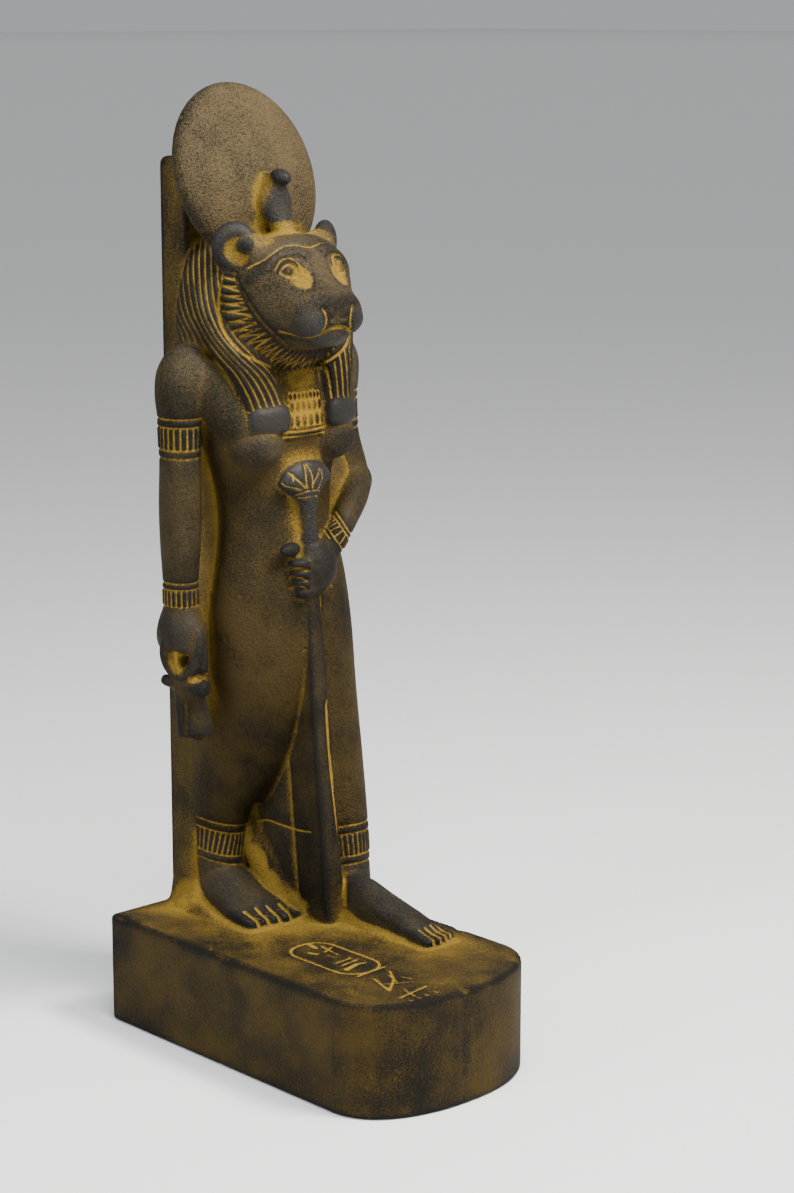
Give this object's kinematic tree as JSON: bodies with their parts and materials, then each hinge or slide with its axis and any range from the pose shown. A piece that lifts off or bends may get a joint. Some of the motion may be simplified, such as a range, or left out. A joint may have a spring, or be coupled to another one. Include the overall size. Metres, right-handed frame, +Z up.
{
  "type": "lioness goddess statue",
  "caption": "Standing lioness-headed goddess with a sun disc, flower sceptre, back pillar and plinth, cast in one piece of dark stone with yellow ochre in the carving.",
  "frame": {"origin": "middle of the plinth's underside, half way along its length and its width", "axes": "+Z up; the figure looks towards -Y, and +X is to its left hand; the flat back of the plinth and pillar faces +Y"},
  "size_m": [0.0944, 0.1417, 0.3279],
  "materials": {
    "cast_stone": "matt, dark grey-brown, with yellow ochre rubbed into the recesses"
  },
  "bodies": {
    "root": {"statue": "cast_stone"}
  },
  "joints": []
}
